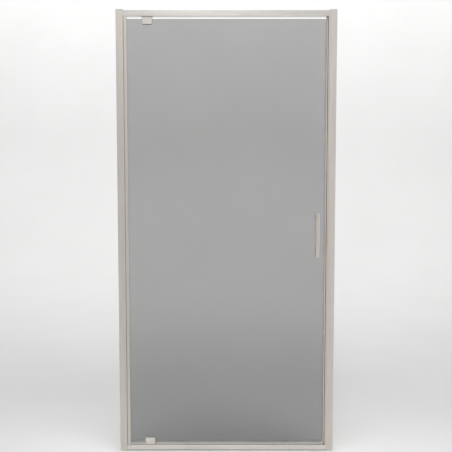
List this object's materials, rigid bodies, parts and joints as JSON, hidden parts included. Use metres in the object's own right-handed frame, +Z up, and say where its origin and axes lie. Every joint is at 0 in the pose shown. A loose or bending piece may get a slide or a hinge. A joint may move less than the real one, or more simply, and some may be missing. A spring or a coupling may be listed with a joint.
{
  "type": "pivot shower door",
  "caption": "Framed pivot shower door: a tinted glass leaf turns on pins near one edge, between wall profiles, a header and a low threshold, with a slim bar handle outside.",
  "frame": {"origin": "centre of the doorway at floor level, in the middle plane of the glass", "axes": "+Z up; +X to the right seen from outside the shower, towards the closing side; +Y into the shower"},
  "size_m": [0.954, 0.0682, 1.95],
  "materials": {
    "profile": "anodised aluminium in warm brushed nickel, grain along the profile",
    "rail": "anodised aluminium in warm brushed nickel, grain along the rail",
    "cap": "satin plastic coloured as the nickel profiles",
    "plate": "satin nickel plated steel",
    "block": "satin nickel plated brass",
    "handle": "satin nickel",
    "pin": "ground stainless steel",
    "steel_screw": "stainless steel",
    "bush": "natural acetal",
    "gasket": "soft translucent grey pad",
    "clear_washer": "translucent nylon",
    "clear_seal": "translucent soft vinyl",
    "magnet": "brown flexible magnet strip",
    "glass": "clear toughened glass with a light neutral grey tint"
  },
  "bodies": {
    "frame": {"wall_profile_left": "profile", "wall_profile_right": "profile", "end_cap_left": "cap", "end_cap_right": "cap", "pivot_jamb": "profile", "strike_jamb": "profile", "header_rail": "rail", "threshold_rail": "rail", "header_corner_screws": "steel_screw", "threshold_corner_screws": "steel_screw", "locking_screws_left": "steel_screw", "screw_covers_left": "cap", "locking_screws_right": "steel_screw", "screw_covers_right": "cap", "top_pivot_plate": "plate", "top_plate_screws": "steel_screw", "top_pivot_bush": "bush", "bottom_pivot_plate": "plate", "bottom_plate_screws": "steel_screw", "bottom_pivot_bush": "bush", "strike_magnet_holder": "clear_seal", "strike_magnet_strip": "magnet", "left_lip_seal": "clear_seal"},
    "door": {"door_glass": "glass", "top_block_front": "block", "top_block_back": "block", "top_block_screws": "steel_screw", "top_block_gaskets": "gasket", "top_pivot_pin": "pin", "bottom_block_front": "block", "bottom_block_back": "block", "bottom_block_screws": "steel_screw", "bottom_block_gaskets": "gasket", "bottom_pivot_pin": "pin", "outer_handle_bar": "handle", "outer_handle_posts": "handle", "inner_handle_caps": "handle", "handle_studs": "steel_screw", "handle_washers": "clear_washer", "handle_sleeves": "clear_washer", "handle_grub_screws": "steel_screw", "leaf_magnet_seal": "clear_seal", "leaf_magnet_strip": "magnet", "drip_seal_left": "clear_seal", "drip_seal_right": "clear_seal"}
  },
  "joints": [
    {"name": "door_swing", "type": "hinge", "parent": "frame", "child": "door", "pos_m": [-0.3425, 0, 0.0284], "axis": [0, 0, -1], "range_deg": [0, 160]}
  ]
}
